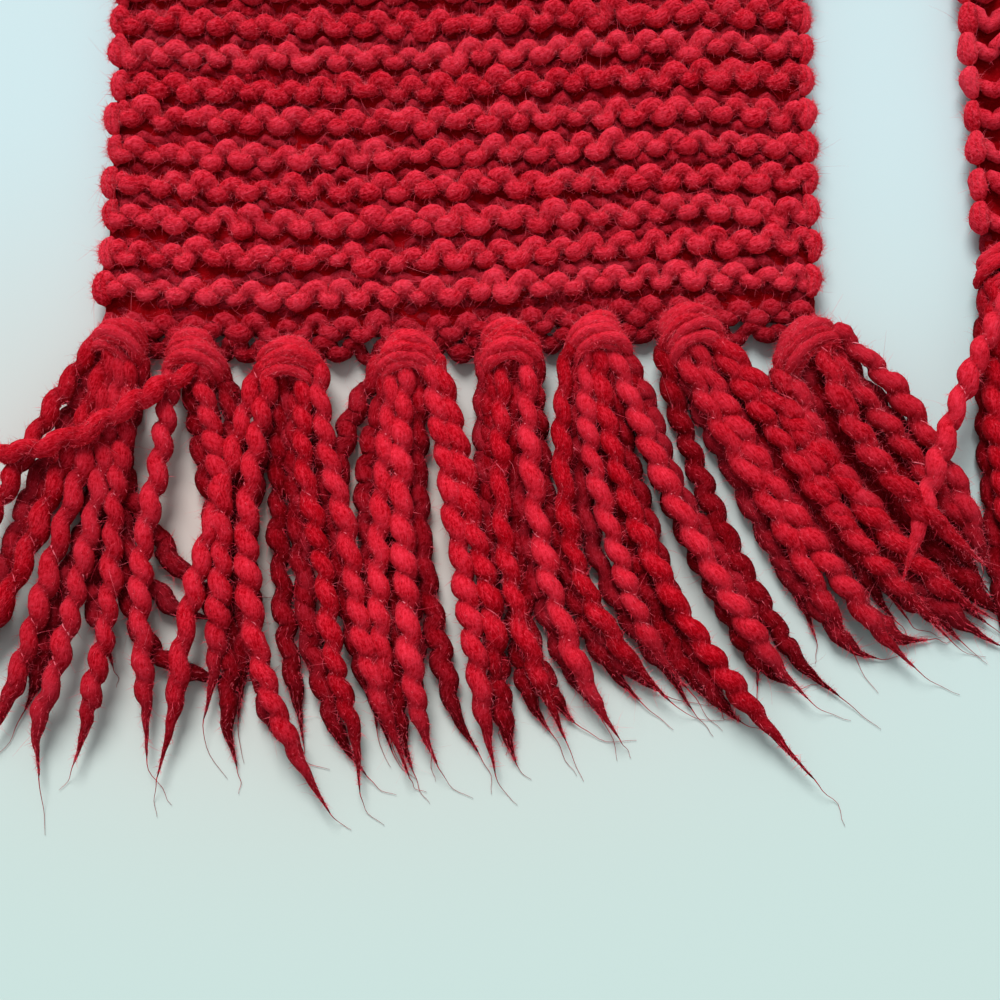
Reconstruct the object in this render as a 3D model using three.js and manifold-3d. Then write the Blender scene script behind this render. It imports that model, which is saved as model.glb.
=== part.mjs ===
// A chunky garter-stitch wool scarf with knotted fringe, laid flat in a U.
// Both fringed ends lie side by side, and two 45 degree folds join them at the far end.
// Millimetres, +Z up. The scarf rests on z = 0 and its fringed ends point to -Y.
import * as THREE from "three";
import Module from "manifold-3d";

// Driving dimensions of the knit
const width = 200;              // selvedge to selvedge
const legLength = 540;          // first hem to the inner corner of the fold
const endGap = 44;              // between the two ends where they lie side by side
const secondHemSetback = 20;    // the second hem lies this much farther up
const ridgePitch = 10;          // one garter ridge, two knitted rows
const crestHeight = 9;          // thickness of the cloth over a ridge
const valleyHeight = 6.4;       // and between two ridges
const nubDepth = 1.4;           // the selvedge swells out at each ridge
const edgeSlope = 1.6;          // the top edge lies in from the selvedge
const seam = 0.3;               // clearance between pieces
const gapSag = 3;               // the crossing sinks between the two ends
const ridgeSway = 1.2;          // ridges wander along the scarf
const edgeUnevenness = 0.4;     // and no two selvedge nubs stand out alike
const tipWidth = 6;             // the blunt end of a leg inside the fold
const hemReach = 45;            // how far up from the hem its wave is felt

// Driving dimensions of the fringe
const headHalfWidth = 9.3;
const headLength = 15;
const headTop = 14;
const floorGap = 0.6;           // lowest point of knots and strands
const lowerHeight = 3.5;        // middle of the strands that lie on the floor
const levelStep = 6.3;          // from one layer of strands to the next
const rootDepth = 9;            // strands start this far from the hem, inside the head
const rootHeight = 7;
const strandsPerLevel = 4;
const rootSpread = [7.5, 6.9];  // half width over the roots in the lower and upper layer
const upperShortening = 7;      // the upper strands end this much nearer the hem
const tipUnevenness = 4;
const tipDroop = 0.6;           // share of its lost thickness by which a tip sinks

// Places across the knit where each row has a vertex, and how far the hem hangs there
const columns = [
  { across: 0, hem: -0.5 },
  { across: 75, hem: -3.2 },
  { across: 200, hem: 1 },
];

// One garter ridge along the scarf: share of the pitch, height and how far the edge swells
const ridgeShape = [
  { at: 0, height: valleyHeight, swell: 0 },
  { at: 0.22, height: crestHeight, swell: 1 },
  { at: 0.72, height: crestHeight, swell: 1 },
];

// A strand from its root to its tip: share of the length and half thickness
const strandShape = [
  { at: 0, radius: 1.8 },
  { at: 0.18, radius: 2.1 },
  { at: 0.42, radius: 2.6 },
  { at: 0.7, radius: 2.8 },
  { at: 0.88, radius: 2.1 },
  { at: 1, radius: 0.7 },
];

// A knot from the hem outward: share of its length, half width, underside and top
const headShape = [
  { at: 0, halfWidth: 0.62, low: 0.2, high: 0.72 },
  { at: 0.25, halfWidth: 0.97, low: 0, high: 0.98 },
  { at: 0.6, halfWidth: 1, low: 0, high: 1 },
  { at: 1, halfWidth: 0.86, low: 0.05, high: 0.8 },
];

// The tassels of the first end: middle of the knot, the two outer tips and the sideways bow
const firstFringe = [
  { across: 6.5, leftX: -28, leftY: -84, rightX: -6, rightY: -123, bow: -9 },
  { across: 26.2, leftX: 1, leftY: -126, rightX: 25, rightY: -123, bow: -5 },
  { across: 52, leftX: 32, leftY: -120, rightX: 56, rightY: -127, bow: -2 },
  { across: 85, leftX: 63, leftY: -127, rightX: 87, rightY: -138, bow: -1 },
  { across: 112, leftX: 94, leftY: -126, rightX: 118, rightY: -126, bow: 0 },
  { across: 137.5, leftX: 125, leftY: -120, rightX: 150, rightY: -113, bow: 2 },
  { across: 164, leftX: 158, leftY: -104, rightX: 190, rightY: -122, bow: 4 },
  { across: 190.5, leftX: 200, leftY: -112, rightX: 232, rightY: -86, bow: 9 },
];

// The same for the second end, measured from its own inner corner
const secondFringe = [
  { across: 8, leftX: 2, leftY: -112, rightX: 25, rightY: -122, bow: -2 },
  { across: 34, leftX: 31, leftY: -124, rightX: 54, rightY: -120, bow: -1 },
  { across: 60, leftX: 60, leftY: -121, rightX: 83, rightY: -126, bow: 0 },
  { across: 86, leftX: 89, leftY: -127, rightX: 112, rightY: -122, bow: 1 },
  { across: 112, leftX: 118, leftY: -121, rightX: 141, rightY: -127, bow: 1 },
  { across: 139, leftX: 147, leftY: -125, rightX: 170, rightY: -120, bow: 2 },
  { across: 166, leftX: 176, leftY: -119, rightX: 199, rightY: -124, bow: 3 },
  { across: 192, leftX: 206, leftY: -122, rightX: 231, rightY: -106, bow: 5 },
];

// Loose strands that cross over their neighbours, in one end's own x and y
const firstStray = { tassel: 1, viaX: 2, viaY: -33, tipX: -28, tipY: -36 };
const secondStray = { tassel: 0, viaX: -14, viaY: -40, tipX: -27, tipY: -92 };

const wool = new THREE.Color(0.58, 0.012, 0.03);
const secondLeft = width + endGap;
const totalWidth = secondLeft + width;
const layerTwo = crestHeight + seam;
const topOfRoll = layerTwo + crestHeight;

const wasm = await Module();
wasm.setup();

function lerp(from, to, share) {
  return from + (to - from) * share;
}

// A small repeatable unevenness between -1 and 1
function unevenness(seed) {
  return Math.sin(seed * 12.9898) * Math.cos(seed * 4.1414);
}

// A closed skin through rings of equal length, with flat ends
function loft(rings) {
  const count = rings[0].length;
  const last = (rings.length - 1) * count;
  const triangles = [];
  for (let i = 0; i < rings.length - 1; i++) {
    for (let j = 0; j < count; j++) {
      const a = i * count + j;
      const b = i * count + ((j + 1) % count);
      triangles.push(a, b, b + count, a, b + count, a + count);
    }
  }
  for (let low = 0, high = count - 1; low + 1 < high; low++, high--) {
    triangles.push(low, high, low + 1);
    triangles.push(last + low, last + low + 1, last + high);
    if (low + 2 < high) {
      triangles.push(low + 1, high, high - 1);
      triangles.push(last + low + 1, last + high - 1, last + high);
    }
  }
  const points = rings.flat();
  if (signedVolume(points, triangles) < 0) {
    triangles.reverse();
  }
  const geometry = new THREE.BufferGeometry();
  geometry.setAttribute("position", new THREE.Float32BufferAttribute(points.flatMap((p) => p.toArray()), 3));
  geometry.setIndex(triangles);
  return geometry;
}

function signedVolume(points, triangles) {
  const cross = new THREE.Vector3();
  let sum = 0;
  for (let i = 0; i < triangles.length; i += 3) {
    cross.crossVectors(points[triangles[i + 1]], points[triangles[i + 2]]);
    sum += points[triangles[i]].dot(cross);
  }
  return sum;
}

function toSolid(geometry) {
  return new wasm.Manifold(new wasm.Mesh({
    numProp: 3,
    vertProperties: new Float32Array(geometry.attributes.position.array),
    triVerts: new Uint32Array(geometry.index.array),
  }));
}

// Fuses closed skins into one body
function fuse(geometries) {
  const solids = geometries.map(toSolid);
  const mesh = solids.slice(1).reduce((sum, next) => sum.add(next), solids[0]).getMesh();
  const geometry = new THREE.BufferGeometry();
  geometry.setAttribute("position", new THREE.BufferAttribute(Float32Array.from(mesh.vertProperties), 3));
  geometry.setIndex(Array.from(mesh.triVerts));
  return geometry;
}

function woolMesh(name, geometry, shade) {
  const material = new THREE.MeshStandardMaterial({ roughness: 0.95, metalness: 0 });
  material.color.copy(wool).multiplyScalar(shade);
  geometry.computeVertexNormals();
  const mesh = new THREE.Mesh(geometry, material);
  mesh.name = name;
  return mesh;
}

// How far the hem hangs below its straight line at a place across the knit
function hemDrop(across) {
  const i = Math.max(1, columns.findIndex((column) => column.across >= across));
  const from = columns[i - 1];
  const to = columns[i];
  return lerp(from.hem, to.hem, (across - from.across) / (to.across - from.across));
}

// The lowest that the hem reaches between two places across the knit
function lowestHem(from, to) {
  const between = columns.filter((column) => column.across > from && column.across < to);
  const ends = [hemDrop(Math.max(0, from)), hemDrop(Math.min(width, to))];
  return Math.min(...ends, ...between.map((column) => column.hem));
}

// The rows of ridges between two places along the scarf
function ridgeRows(start, end) {
  const rows = [];
  for (let ridge = Math.floor(start / ridgePitch); ridge * ridgePitch < end; ridge++) {
    for (const step of ridgeShape) {
      const along = (ridge + step.at) * ridgePitch;
      if (along >= start && along <= end) {
        rows.push({ along, height: step.height, swell: step.swell, ridge });
      }
    }
  }
  return rows;
}

// One leg of the U. Its outer selvedge is at x = outer and it grows towards side;
// past the inner corner it narrows along the 45 degree fold.
function leg(name, outer, side, hem) {
  const length = legLength - hem;
  const fromOuter = side > 0 ? columns : columns.map(mirrored).reverse();
  const rings = [];
  for (const row of ridgeRows(0, length + width - tipWidth)) {
    const swell = nubDepth * (1 - row.swell) + edgeUnevenness * unevenness(row.ridge + outer);
    const low = Math.max(swell + edgeUnevenness, row.along - length + seam * Math.SQRT2);
    const high = width - swell - edgeUnevenness;
    const sway = ridgeSway * unevenness(row.ridge * 0.37) * fadeIn(row.along) * fadeIn(length - row.along);
    const under = [];
    const over = [];
    fromOuter.forEach((column, i) => {
      const inner = i > 0 && i < fromOuter.length - 1;
      const inset = [edgeSlope, 0, -edgeSlope][i];
      const across = lerp(low, high, column.across / width);
      const y = hem + row.along + column.hem * Math.exp(-row.along / hemReach) + (inner ? sway : 0);
      under.push(new THREE.Vector3(outer + side * across, y, 0));
      over.unshift(new THREE.Vector3(outer + side * (across + inset), y, row.height));
    });
    rings.push([...under, ...over]);
  }
  return woolMesh(name, loft(rings), 1);
}

function mirrored(column) {
  return { across: width - column.across, hem: column.hem };
}

// The wandering of the ridges grows from nothing at the hem and at the fold
function fadeIn(along) {
  return THREE.MathUtils.clamp(along / hemReach, 0, 1);
}

// How far the crossing sinks where nothing lies under it
function sagAt(x) {
  const share = (x - width) / endGap;
  return share > 0 && share < 1 ? gapSag * Math.sin(Math.PI * share) ** 2 : 0;
}

// The upper layer between the two folds: a trapezoid whose ridges run along Y
function crossingSheet() {
  const overlap = 1;
  const rings = [];
  for (const row of ridgeRows(ridgePitch * 0.5, totalWidth - ridgePitch * 0.5)) {
    const x = row.along;
    const reach = Math.min(x, totalWidth - x) + overlap * Math.SQRT2;
    const swell = nubDepth * (1 - row.swell);
    const high = Math.min(width - swell, reach);
    const low = swell;
    const base = layerTwo - sagAt(x);
    const crown = base + row.height;
    const y = legLength;
    rings.push([
      new THREE.Vector3(x, y + low, base),
      new THREE.Vector3(x, y + low + edgeSlope, crown),
      new THREE.Vector3(x, y + lerp(low, high, 0.5), crown),
      new THREE.Vector3(x, y + high - edgeSlope * Math.min(1, (reach - high) / edgeSlope), crown),
      new THREE.Vector3(x, y + high, base),
    ]);
  }
  return loft(rings);
}

// The cloth turning over at a fold: a half round whose ridges wind around it
function foldRoll(corner, side) {
  const stationsPerRidge = 2;
  const turnSteps = 6;
  const middle = topOfRoll / 2;
  const clothMiddle = crestHeight / 2 + seam / 2;
  const stations = (width / ridgePitch) * stationsPerRidge;
  const along = new THREE.Vector3(side, 1, 0).normalize();
  const outward = new THREE.Vector3(-side, 1, 0).normalize();
  const rings = [];
  for (let i = 0; i <= stations; i++) {
    const across = lerp(1, width - 1, i / stations);
    const ring = [];
    for (let k = 0; k <= turnSteps; k++) {
      const angle = lerp(-Math.PI / 2, Math.PI / 2, k / turnSteps);
      const arc = clothMiddle * angle;
      const phase = ((across + Math.SQRT2 * arc) / ridgePitch) * 2 * Math.PI;
      const dip = (crestHeight - valleyHeight) * 0.5 * (1 + Math.cos(phase));
      const radius = middle - dip * Math.cos(angle);
      const point = new THREE.Vector3(corner, legLength, middle + radius * Math.sin(angle));
      point.addScaledVector(along, across * Math.SQRT2 + arc);
      point.addScaledVector(outward, radius * Math.cos(angle));
      ring.push(point);
    }
    rings.push(ring);
  }
  return loft(rings);
}

// A square strand along a bent route; layers are counted from the floor
function strand(route) {
  const rings = [];
  const start = new THREE.Vector2(route.rootX, route.rootY);
  const bend = new THREE.Vector2(route.bendX, route.bendY);
  const end = new THREE.Vector2(route.tipX, route.tipY);
  const curve = new THREE.QuadraticBezierCurve(start, bend, end);
  const lying = lowerHeight + route.level * levelStep;
  for (const step of strandShape) {
    const place = curve.getPoint(step.at);
    const heading = curve.getTangent(step.at);
    const settled = Math.min(1, step.at / strandShape[2].at);
    const droop = step.at > strandShape[3].at ? tipDroop * (strandShape[3].radius - step.radius) : 0;
    const z = lerp(rootHeight, lying, settled) - droop;
    const sideways = new THREE.Vector3(-heading.y, heading.x, 0).multiplyScalar(step.radius);
    const centre = new THREE.Vector3(place.x, place.y, z);
    rings.push([
      centre.clone().add(sideways),
      new THREE.Vector3(place.x, place.y, z + step.radius),
      centre.clone().sub(sideways),
      new THREE.Vector3(place.x, place.y, z - step.radius),
    ]);
  }
  return loft(rings);
}

// The knot that holds a tassel, a rounded block just outside the hem
function knot(x, y) {
  const bevel = 0.55;
  const rings = headShape.map((step) => {
    const half = headHalfWidth * step.halfWidth;
    const low = floorGap + headTop * step.low;
    const high = floorGap + (headTop - floorGap) * step.high;
    const place = y - headLength * step.at;
    const middle = lerp(low, high, 0.5);
    return [
      new THREE.Vector3(x - half * bevel, place, low),
      new THREE.Vector3(x + half * bevel, place, low),
      new THREE.Vector3(x + half, place, middle),
      new THREE.Vector3(x + half * bevel, place, high),
      new THREE.Vector3(x - half * bevel, place, high),
      new THREE.Vector3(x - half, place, middle),
    ];
  });
  return loft(rings);
}

// A row of knotted tassels along one hem
function fringe(prefix, left, hem, rows, stray) {
  return rows.map((row, index) => {
    const knotY = hem + lowestHem(row.across - headHalfWidth, row.across + headHalfWidth) - seam;
    const parts = [knot(left + row.across, knotY)];
    for (let level = 0; level < rootSpread.length; level++) {
      for (let i = 0; i < strandsPerLevel; i++) {
        const place = i / (strandsPerLevel - 1);
        const fan = place + (level * 0.5) / (strandsPerLevel - 1);
        const wobble = unevenness(index * 7 + i * 3 + level);
        const rootX = row.across + lerp(-rootSpread[level], rootSpread[level], place);
        const tipX = lerp(row.leftX, row.rightX, fan);
        const tipY = lerp(row.leftY, row.rightY, fan) + level * upperShortening + tipUnevenness * wobble;
        parts.push(strand({
          level,
          rootX: left + rootX,
          rootY: knotY - rootDepth,
          bendX: left + lerp(rootX, tipX, 0.42) + row.bow,
          bendY: knotY + lerp(-rootDepth, tipY, 0.45),
          tipX: left + tipX,
          tipY: hem + tipY,
        }));
      }
    }
    if (stray.tassel === index) {
      parts.push(strand({
        level: 2,
        rootX: left + row.across,
        rootY: knotY - rootDepth,
        bendX: left + stray.viaX,
        bendY: hem + stray.viaY,
        tipX: left + stray.tipX,
        tipY: hem + stray.tipY,
      }));
    }
    return woolMesh(`${prefix}_${index + 1}`, fuse(parts), 1.08);
  });
}

const scarf = new THREE.Group();
scarf.add(leg("knit_first_leg", 0, 1, 0));
scarf.add(leg("knit_second_leg", totalWidth, -1, secondHemSetback));
scarf.add(woolMesh("knit_crossing", fuse([crossingSheet(), foldRoll(0, 1), foldRoll(totalWidth, -1)]), 0.94));
fringe("tassel_first", 0, 0, firstFringe, firstStray).forEach((tassel) => scarf.add(tassel));
fringe("tassel_second", secondLeft, secondHemSetback, secondFringe, secondStray)
  .forEach((tassel) => scarf.add(tassel));

// The origin is the middle of the footprint, on the surface that the scarf lies on
const box = new THREE.Box3().setFromObject(scarf);
const middle = box.getCenter(new THREE.Vector3());
scarf.position.set(-middle.x, -middle.y, 0);

export default scarf;
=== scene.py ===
import bpy
import math
import numpy as np
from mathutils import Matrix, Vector


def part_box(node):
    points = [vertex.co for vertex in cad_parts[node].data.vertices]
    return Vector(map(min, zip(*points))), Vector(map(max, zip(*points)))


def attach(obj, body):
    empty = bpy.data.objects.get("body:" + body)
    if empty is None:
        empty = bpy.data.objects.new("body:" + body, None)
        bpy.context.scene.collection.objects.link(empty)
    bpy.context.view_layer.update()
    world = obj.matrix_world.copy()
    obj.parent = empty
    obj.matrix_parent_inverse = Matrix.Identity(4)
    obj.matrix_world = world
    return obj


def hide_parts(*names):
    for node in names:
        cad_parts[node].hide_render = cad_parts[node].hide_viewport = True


# A red garter-stitch scarf with knotted corkscrew fringe, laid flat in a U.
# Shapes are worked out in millimetres and turned into metres when a piece is made.
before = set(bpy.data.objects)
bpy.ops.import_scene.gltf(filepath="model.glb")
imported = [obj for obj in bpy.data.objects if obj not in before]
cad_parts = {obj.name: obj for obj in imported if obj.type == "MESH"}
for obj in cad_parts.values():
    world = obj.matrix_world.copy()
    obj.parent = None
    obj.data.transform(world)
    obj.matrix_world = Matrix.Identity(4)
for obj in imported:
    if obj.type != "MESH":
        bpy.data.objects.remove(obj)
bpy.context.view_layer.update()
print("frame loaded:", len(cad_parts), "nodes")

rng = np.random.default_rng(24)
mm = 0.001
fullTurn = 2 * np.pi
anyTurn = (0, 6.28)  # random angles are drawn between these
fewerHairs = 3  # knots and hem rows have this many times fewer hairs than their piece's yarns
root2 = math.sqrt(2)

knit = {
    "width": 200.0,
    "stitches": 24,
    "bumpsPerStitch": 2,
    "ridgePitch": 10.0,
    "legLength": 540.0,
    "endGap": 44.0,
    "secondSetback": 20.0,
    "thickness": 9.0,
    "seam": 0.3,
    "gapSag": 3.0,  # the crossing sinks this much over the gap
    "hemReach": 250.0,  # the rows follow the hem's slope about this far
    "firstRow": 0.3,  # ridges lie this share of a pitch past whole pitches
    "fineRidges": 11,  # ridges at each end that are a piece of their own
}

# Places across the knit and how far the hem lies above its straight line there
hemLine = [(0.0, -0.5), (26.0, -2.2), (52.0, -3.4), (85.0, -3.0), (112.0, -1.2),
           (137.0, 0.6), (164.0, 2.2), (190.0, 1.0), (200.0, 1.0)]

pitch = knit["ridgePitch"]
stitch = knit["width"] / knit["stitches"]
fullWidth = 2 * knit["width"] + knit["endGap"]
secondLeft = knit["width"] + knit["endGap"]
layerTwo = knit["thickness"] + knit["seam"]
rollMiddle = layerTwo / 2 + knit["thickness"] / 2
clothMiddle = layerTwo / 2

# The frame's origin is the middle of the footprint; these numbers lead back to the first hem
lowestHem = -3.2
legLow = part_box("knit_first_leg")[0]
shift = np.array([legLow.x / mm, legLow.y / mm - lowestHem, 0.0])


# Small helpers for shapes
def lerp(a, b, share):
    return a + (b - a) * share


def smooth(share):
    share = np.clip(share, 0, 1)
    return share * share * (3 - 2 * share)


def ramp(share, start, length):
    return smooth((share - start) / length)


def unit(v):
    return v / np.maximum(np.linalg.norm(v, axis=-1, keepdims=True), 1e-9)


def together(*parts):
    return np.stack(np.broadcast_arrays(*parts), axis=-1)


def lengthAlong(points):
    steps = np.linalg.norm(np.diff(points, axis=1), axis=-1)
    return np.concatenate([np.zeros((len(points), 1)), np.cumsum(steps, axis=1)], axis=1)


def offBy(spread, *shape):
    return rng.normal(0, spread, shape)


# Frames that are carried along lines without turning around them
def carriedFrames(points):
    tangents = unit(np.gradient(points, axis=1))
    side = np.empty_like(points)
    nearlyUp = np.array([0.05, 0.03, 1.0])
    s = np.cross(tangents[:, 0], nearlyUp)
    for i in range(points.shape[1]):
        t = tangents[:, i]
        s = unit(s - (s * t).sum(-1, keepdims=True) * t)
        side[:, i] = s
    return tangents, side, np.cross(tangents, side)


def emptyStore():
    return {"points": [], "quads": [], "tris": [], "place": [], "tone": [], "shade": [], "count": 0}


def addPoints(store, points, place, tone, shade):
    store["points"].append(points.reshape(-1, 3))
    store["place"].append(place.reshape(-1, 3))
    store["tone"].append(tone)
    store["shade"].append(shade)
    store["count"] += len(tone)


tube = {
    "lowest": 0.05,  # nothing goes under the floor
    "lumpGain": 2.6,  # a smaller number makes bigger lumps
    "grooveEdge": 0.1,
    "grainStep": 40.0,  # sets the grain of one yarn off from the next one's
}


# Adds closed tubes of equal length to a store: points (m, n, 3) and radii (m, n). Points below the top of shadeRange
# get painted shade through yarnShade.
def addTubes(store, points, radii, sides, tones, twist=0.35, lumps=0.0, groove=None, shadeRange=(0.0, 1.0)):
    m, n = radii.shape
    tangents, side, other = carriedFrames(points)
    angles = np.arange(sides) * fullTurn / sides
    ring = side[:, :, None] * np.cos(angles)[:, None] + other[:, :, None] * np.sin(angles)[:, None]
    reach = np.repeat(radii[:, :, None], sides, axis=2)
    dim = 1.0
    if groove is not None:
        facing = (ring * groove["direction"][:, :, None]).sum(-1)
        sunk = smooth(facing + tube["grooveEdge"])
        reach = reach * (1 - groove["depth"] * sunk)
        # Painted shade in the groove: its sunk side is coloured darker
        dim = 1 - groove["dim"] * sunk
    if lumps:
        wave = rng.normal(size=(m, n, sides))
        for _ in range(2):
            for axis in (1, 2):
                wave = (2 * wave + np.roll(wave, 1, axis) + np.roll(wave, -1, axis)) / tube["lumpGain"]
        reach = reach * (1 + lumps * wave)
    vertices = points[:, :, None] + reach[..., None] * ring
    vertices[..., 2] = np.maximum(vertices[..., 2], tube["lowest"])
    along = lengthAlong(points)[:, :, None]
    turn = angles + twist * along
    place = together(along + tube["grainStep"] * tones[:, None, None], np.cos(turn), np.sin(turn))
    line, row, corner = np.meshgrid(np.arange(m), np.arange(n - 1), np.arange(sides), indexing="ij")
    a = store["count"] + (line * n + row) * sides + corner
    b = store["count"] + (line * n + row) * sides + (corner + 1) % sides
    store["quads"].append(np.stack([a, b, b + sides, a + sides], axis=-1).reshape(-1, 4))
    first = store["count"] + np.arange(m)[:, None] * n * sides
    last = first + (n - 1) * sides
    step = np.arange(1, sides - 1)[None]
    store["tris"].append(together(first, first + step + 1, first + step).reshape(-1, 3))
    store["tris"].append(together(last, last + step, last + step + 1).reshape(-1, 3))
    # Painted shade: the yarnShade share rises from 0 at the bottom of shadeRange to 1 at its top, so lower parts are
    # coloured darker
    low, high = shadeRange
    lit = np.clip((vertices[..., 2] - low) / (high - low), 0, 1) * dim
    addPoints(store, vertices, place, np.repeat(tones, n * sides), lit.ravel())
    return tangents, ring, reach


# The wool's loose hair: short hairs are spikes of one triangle, long ones are curled ribbons
fuzz = {
    "kinds": (
        {"share": 1.0, "longest": 2.3, "segments": 1, "width": 0.13},
        {"share": 0.035, "longest": 8.0, "segments": 4, "width": 0.08},
    ),
    "shortest": 0.3,  # as a share of the longest
    "curl": 0.5, "leanSpread": 3.0, "taper": 0.75, "lowest": 0.25, "grainStep": 50,
    "lean": 0.55,  # how much a hair leans along its yarn
    "facing": -0.25,  # hair starts where the yarn faces higher than this
    "rootDepth": 0.93,  # as a share of the yarn's radius
}


def addFibres(store, roots, away, trend, kind):
    m = len(roots)
    if not m:
        return
    segments = kind["segments"]
    lengths = kind["longest"] * lerp(fuzz["shortest"], 1, rng.random(m) ** 2)
    t = np.linspace(0, 1, segments + 1)[None, :, None]
    curl = unit(rng.normal(size=(m, 3))) * lengths[:, None] * fuzz["curl"]
    lean = unit(away + fuzz["lean"] * trend)
    path = roots[:, None] + lean[:, None] * lengths[:, None, None] * t + curl[:, None] * t * t
    path[..., 2] = np.maximum(path[..., 2], fuzz["lowest"])
    across = unit(np.cross(lean, rng.normal(size=(m, 3))))[:, None]
    half = 0.5 * kind["width"] * (1 - fuzz["taper"] * t)
    vertices = np.stack([path - across * half, path + across * half], axis=2).reshape(m, -1, 3)
    if segments == 1:
        vertices = vertices[:, :3]
        store["tris"].append(store["count"] + np.arange(3 * m).reshape(-1, 3))
    else:
        base = store["count"] + np.arange(m)[:, None] * vertices.shape[1] + np.arange(segments)[None] * 2
        store["quads"].append(np.stack([base, base + 1, base + 3, base + 2], axis=-1).reshape(-1, 4))
    count = vertices.shape[1]
    tones = rng.random(m)
    place = together(fuzz["grainStep"] * tones[:, None], np.ones((1, count)), np.zeros((1, count)))
    addPoints(store, vertices, place, np.repeat(tones, count), np.ones(m * count))


# Hair that starts all over tubes that have just been added
def fuzzOn(store, made, points, perTube):
    tangents, ring, reach = made
    m, n, sides = reach.shape
    for kind in fuzz["kinds"]:
        count = int(m * perTube * kind["share"])
        line = rng.integers(0, m, count)
        spot = rng.integers(2, n - 2, count)
        corner = rng.integers(0, sides, count)
        away = ring[line, spot, corner]
        keep = away[:, 2] > fuzz["facing"]
        line, spot, corner, away = line[keep], spot[keep], corner[keep], away[keep]
        roots = points[line, spot] + away * (reach[line, spot, corner] * fuzz["rootDepth"])[:, None]
        trend = tangents[line, spot] * rng.normal(size=(len(line), 1)) * fuzz["leanSpread"]
        addFibres(store, roots, away, trend, kind)


def setValues(node, values):
    for title, value in values.items():
        node.inputs[title].default_value = value


def addNode(tree, kind, values=None, **settings):
    node = tree.nodes.new("ShaderNode" + kind)
    for title, value in settings.items():
        setattr(node, title, value)
    setValues(node, values or {})
    return node


def gathered(faces, corners):
    return np.concatenate(faces) if faces else np.zeros((0, corners), int)


def makePiece(name, store, material, replaced=()):
    points = (np.concatenate(store["points"]) + shift) * mm
    quads = gathered(store["quads"], 4)
    tris = gathered(store["tris"], 3)
    mesh = bpy.data.meshes.new(name)
    mesh.vertices.add(len(points))
    mesh.vertices.foreach_set("co", points.ravel())
    corners = np.concatenate([quads.ravel(), tris.ravel()]).astype(np.int32)
    starts = np.concatenate([np.arange(len(quads)) * 4, len(quads) * 4 + np.arange(len(tris)) * 3])
    mesh.loops.add(len(corners))
    mesh.loops.foreach_set("vertex_index", corners)
    mesh.polygons.add(len(starts))
    mesh.polygons.foreach_set("loop_start", starts.astype(np.int32))
    mesh.update(calc_edges=True)
    mesh.shade_smooth()
    place = mesh.attributes.new("yarnPlace", "FLOAT_VECTOR", "POINT")
    place.data.foreach_set("vector", np.concatenate(store["place"]).ravel())
    for title, part in (("yarnTone", "tone"), ("yarnShade", "shade")):
        attribute = mesh.attributes.new(title, "FLOAT", "POINT")
        attribute.data.foreach_set("value", np.concatenate(store[part]))
    piece = bpy.data.objects.new(name, mesh)
    bpy.context.collection.objects.link(piece)
    piece.data.materials.append(material)
    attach(piece, "root")
    if replaced:
        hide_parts(*replaced)
    print("made", name, 2 * len(quads) + len(tris), "triangles")
    return piece


# The noises of the wool, with the titles of Blender's own sockets
noises = {
    "fibres": {"Scale": 1.0, "Detail": 4.0, "Roughness": 0.65},
    "blotches": {"Scale": 110.0, "Detail": 3.0},
    "fluff": {"Scale": 1000.0, "Detail": 4.0, "Roughness": 0.7},
    "hairs": {"Scale": 1.0, "Detail": 2.0},
}
grain = {
    "fibreRange": (0.3, 0.7), "fluffRange": (0.35, 0.65), "blotches": 0.4, "yarnToYarn": 0.25, "toMid": 1.4,
    "toLight": 1.8, "lightStart": 0.95,
    "hairSlants": (0.32, -0.24),  # the hairs wind around the yarn both ways
    "hairStretch": (0.45, 11.0, 11.0), "hairRange": (0.58, 0.72), "fluffRelief": 3.0,
}
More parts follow.
